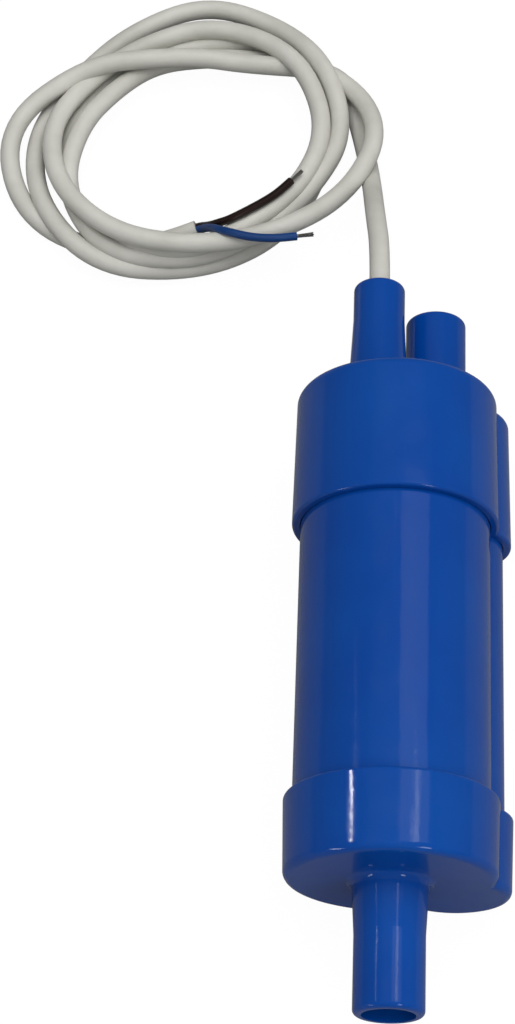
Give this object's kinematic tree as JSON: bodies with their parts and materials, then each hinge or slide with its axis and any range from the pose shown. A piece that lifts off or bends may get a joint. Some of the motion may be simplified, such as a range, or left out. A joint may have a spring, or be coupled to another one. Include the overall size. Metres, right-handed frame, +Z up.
{
  "type": "inline water pump",
  "caption": "Inline water pump for a caravan: a blue plastic tube with a hose spigot at each end, and a coiled cable with bare core ends.",
  "frame": {"origin": "middle of the pump's outline on the ground, without the cable", "axes": "+Y from the inlet spigot to the outlet spigot and the cable stub, +Z up, the water duct to +X"},
  "size_m": [0.1124, 0.2404, 0.0414],
  "materials": {
    "blue_plastic": "gloss",
    "seal_rubber": "matte",
    "steel": "satin",
    "brass": "satin",
    "copper": "satin",
    "ferrite": "matte",
    "laminations": "matte",
    "white_plastic": "matte",
    "carbon": "matte",
    "ceramic": "gloss",
    "cable_jacket": "satin",
    "core_blue": "satin",
    "core_brown": "satin",
    "tinned": "satin"
  },
  "bodies": {
    "pump": {"body_casing": "blue_plastic", "inlet_cap": "blue_plastic", "outlet_cap": "blue_plastic", "inlet_cap_seal": "seal_rubber", "outlet_cap_seal": "seal_rubber", "plate_seal": "seal_rubber", "cover_seal": "seal_rubber", "motor_cushion": "seal_rubber", "shaft_seal": "seal_rubber", "cable_gland": "seal_rubber", "volute_plate": "blue_plastic", "motor_cover": "blue_plastic", "seal_spring": "steel", "magnet_clips": "steel", "motor_can": "steel", "front_bearing": "brass", "rear_bearing": "brass", "magnets": "ferrite", "end_bell": "white_plastic", "brushes": "carbon", "brush_arms": "brass", "motor_terminals": "brass", "suppressor_capacitor": "ceramic", "chokes": "ferrite", "cable_inner": "cable_jacket", "cable_lead": "cable_jacket", "cable_coil": "cable_jacket", "inner_core_blue": "core_blue", "inner_core_brown": "core_brown", "core_blue": "core_blue", "core_brown": "core_brown", "strand_blue": "tinned", "strand_brown": "tinned"},
    "rotor": {"motor_shaft": "steel", "armature_core": "laminations", "armature_windings": "copper", "commutator": "copper", "impeller": "white_plastic", "impeller_clip": "steel", "thrust_washers": "white_plastic"}
  },
  "joints": [
    {"name": "rotor_spin", "type": "hinge", "parent": "pump", "child": "rotor", "pos_m": [-0.00158, 0, 0.0207], "axis": [0, 1, 0], "continuous": true}
  ]
}
